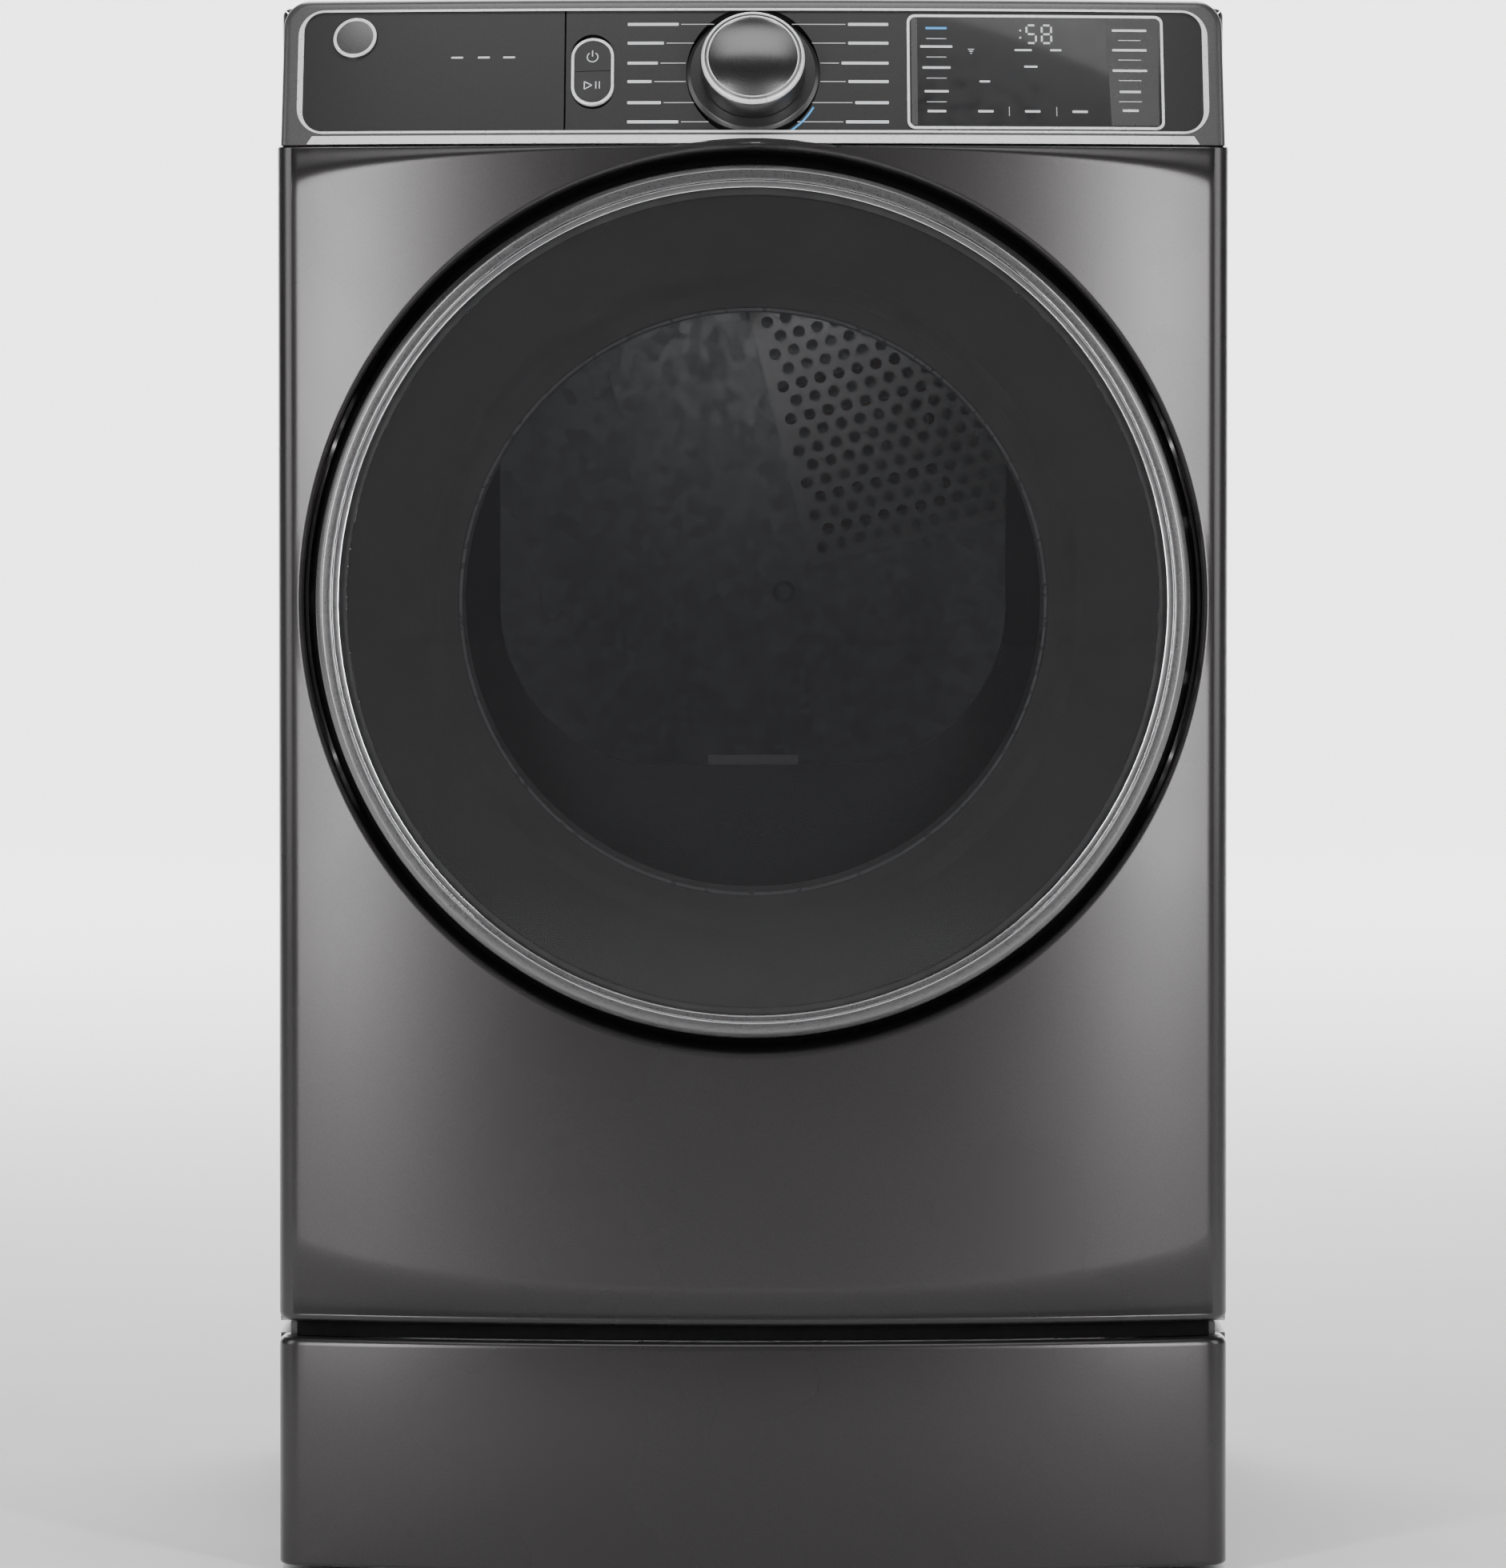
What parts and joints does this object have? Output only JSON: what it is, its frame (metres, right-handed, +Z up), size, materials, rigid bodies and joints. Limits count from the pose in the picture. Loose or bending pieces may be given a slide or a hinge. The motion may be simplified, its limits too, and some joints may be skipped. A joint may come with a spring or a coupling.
{
  "type": "clothes dryer",
  "caption": "Front-loading vented clothes dryer on a low riser, with a swinging round door, a belt-driven drum, a lint filter that lifts out, a control knob and push buttons",
  "frame": {"origin": "on the floor under the middle of the bounding box", "axes": "+Z up, the door faces -Y, +X to the right as seen from the front"},
  "size_m": [0.711, 0.873, 1.18],
  "materials": {
    "painted_front": "warm dark grey metallic paint, satin clear coat",
    "painted_side": "warm dark grey metallic paint",
    "galvanized": "plain zinc-coated sheet",
    "chrome": "bright plated trim",
    "ring_metal": "grey satin plated door ring",
    "spun_metal": "spun face with fine circular grain",
    "black_plastic": "fine moulded grain",
    "console_face": "dark grey fascia with a vertical brushed grain",
    "display_lens": "smoked glossy lens",
    "door_glass": "smoked tempered glass",
    "window_glass": "clear inner window",
    "grey_plastic": "dark grey moulding",
    "white_plastic": "natural moulded plastic",
    "rubber": "black moulded rubber",
    "felt": "pressed felt",
    "drum_steel": "drum sheet with a fine grain",
    "machine_steel": "machined steel",
    "dark_metal": "dark enamel",
    "board": "green circuit board with black housings",
    "filter_mesh": "light grey frame with fine mesh",
    "harness": "sleeved wires",
    "water_blue": "blue moulding",
    "hose": "clear-white silicone hose",
    "heater_wire": "heat-tinted resistance wire"
  },
  "bodies": {
    "root": {"left_side_panel": "painted_side", "right_side_panel": "painted_side", "rear_panel": "galvanized", "base_pan": "galvanized", "top_panel": "painted_side", "front_panel": "painted_front", "front_bulkhead": "grey_plastic", "rear_bulkhead": "galvanized", "inlet_grille": "galvanized", "drum_seals": "felt", "drum_glides": "white_plastic", "drive_belt": "rubber", "drive_motor": "dark_metal", "blower_housing": "grey_plastic", "lint_duct": "grey_plastic", "exhaust_duct": "galvanized", "heater_box": "galvanized", "heater_coil": "heater_wire", "thermostats": "white_plastic", "roller_axles": "machine_steel", "moisture_sensors": "machine_steel", "drum_lamp": "white_plastic", "hinge_bracket": "machine_steel", "door_catch": "black_plastic", "door_switch": "white_plastic", "console_housing": "console_face", "fascia_left": "console_face", "fascia_right": "console_face", "console_trim": "chrome", "knob_skirt": "black_plastic", "button_bezel": "chrome", "display_panel": "display_lens", "control_board": "board", "terminal_cover": "galvanized", "water_valve": "water_blue", "steam_hose": "hose", "wire_harness": "harness", "cabinet_screws": "machine_steel", "riser_frame": "painted_side", "riser_front": "painted_front", "riser_feet": "rubber", "idler_spring": "machine_steel"},
    "door": {"door_ring": "ring_metal", "door_glass": "door_glass", "door_frame": "black_plastic", "door_liner": "grey_plastic", "door_window": "window_glass", "door_gasket": "rubber", "door_hardware": "machine_steel"},
    "drum_body": {"drum": "drum_steel"},
    "rotor": {"motor_rotor": "machine_steel", "blower_wheel": "white_plastic"},
    "idler_link": {"idler_arm": "machine_steel"},
    "idler_wheel": {"idler_pulley": "white_plastic"},
    "roller_l": {"roller_left": "rubber"},
    "roller_r": {"roller_right": "rubber"},
    "filter": {"lint_filter": "filter_mesh"},
    "knob_body": {"knob": "spun_metal"},
    "power_key": {"power_button": "console_face"},
    "start_key": {"start_button": "console_face"}
  },
  "joints": [
    {"name": "door_hinge", "type": "hinge", "parent": "root", "child": "door", "pos_m": [0.306, -0.40912, 0.73], "axis": [0, 0, 1], "range_deg": [0, 105]},
    {"name": "drum_spin", "type": "hinge", "parent": "root", "child": "drum_body", "pos_m": [0, 0.018, 0.72], "axis": [0, 1, 0], "continuous": true},
    {"name": "motor_spin", "type": "hinge", "parent": "root", "child": "rotor", "pos_m": [-0.07, 0, 0.267], "axis": [0, 1, 0], "continuous": true},
    {"name": "idler_swing", "type": "hinge", "parent": "root", "child": "idler_link", "pos_m": [-0.19213, 0.063, 0.27247], "axis": [0, 1, 0], "range_deg": [-8, 0], "stiffness_Nm_per_rad": 4, "springref_deg": 20.05, "deforming": ["idler_spring"]},
    {"name": "idler_spin", "type": "hinge", "parent": "idler_link", "child": "idler_wheel", "pos_m": [-0.16374, 0.053, 0.34057], "axis": [0, 1, 0], "continuous": true},
    {"name": "roller_left_spin", "type": "hinge", "parent": "root", "child": "roller_l", "pos_m": [-0.20666, 0.311, 0.42486], "axis": [0, 1, 0], "continuous": true},
    {"name": "roller_right_spin", "type": "hinge", "parent": "root", "child": "roller_r", "pos_m": [0.20666, 0.311, 0.42486], "axis": [0, 1, 0], "continuous": true},
    {"name": "filter_slide", "type": "slide", "parent": "root", "child": "filter", "axis": [0, 0, 1], "range_m": [0, 0.15]},
    {"name": "knob_turn", "type": "hinge", "parent": "root", "child": "knob_body", "pos_m": [0, -0.39708, 1.12339], "axis": [0, -0.8988, 0.4384], "continuous": true},
    {"name": "power_press", "type": "slide", "parent": "root", "child": "power_key", "axis": [0.0681, 0.8967, -0.4374], "range_m": [0, 0.0015], "stiffness_N_per_m": 900, "springref_m": -0.001},
    {"name": "start_press", "type": "slide", "parent": "root", "child": "start_key", "axis": [0.0681, 0.8967, -0.4374], "range_m": [0, 0.0015], "stiffness_N_per_m": 900, "springref_m": -0.001}
  ],
  "couplings": [
    {"joint": "motor_spin", "follows": "drum_spin", "ratio": 30.952},
    {"joint": "roller_left_spin", "follows": "drum_spin", "ratio": -9.2857},
    {"joint": "roller_right_spin", "follows": "drum_spin", "ratio": -9.2857},
    {"joint": "idler_spin", "follows": "drum_spin", "ratio": -14.773}
  ]
}
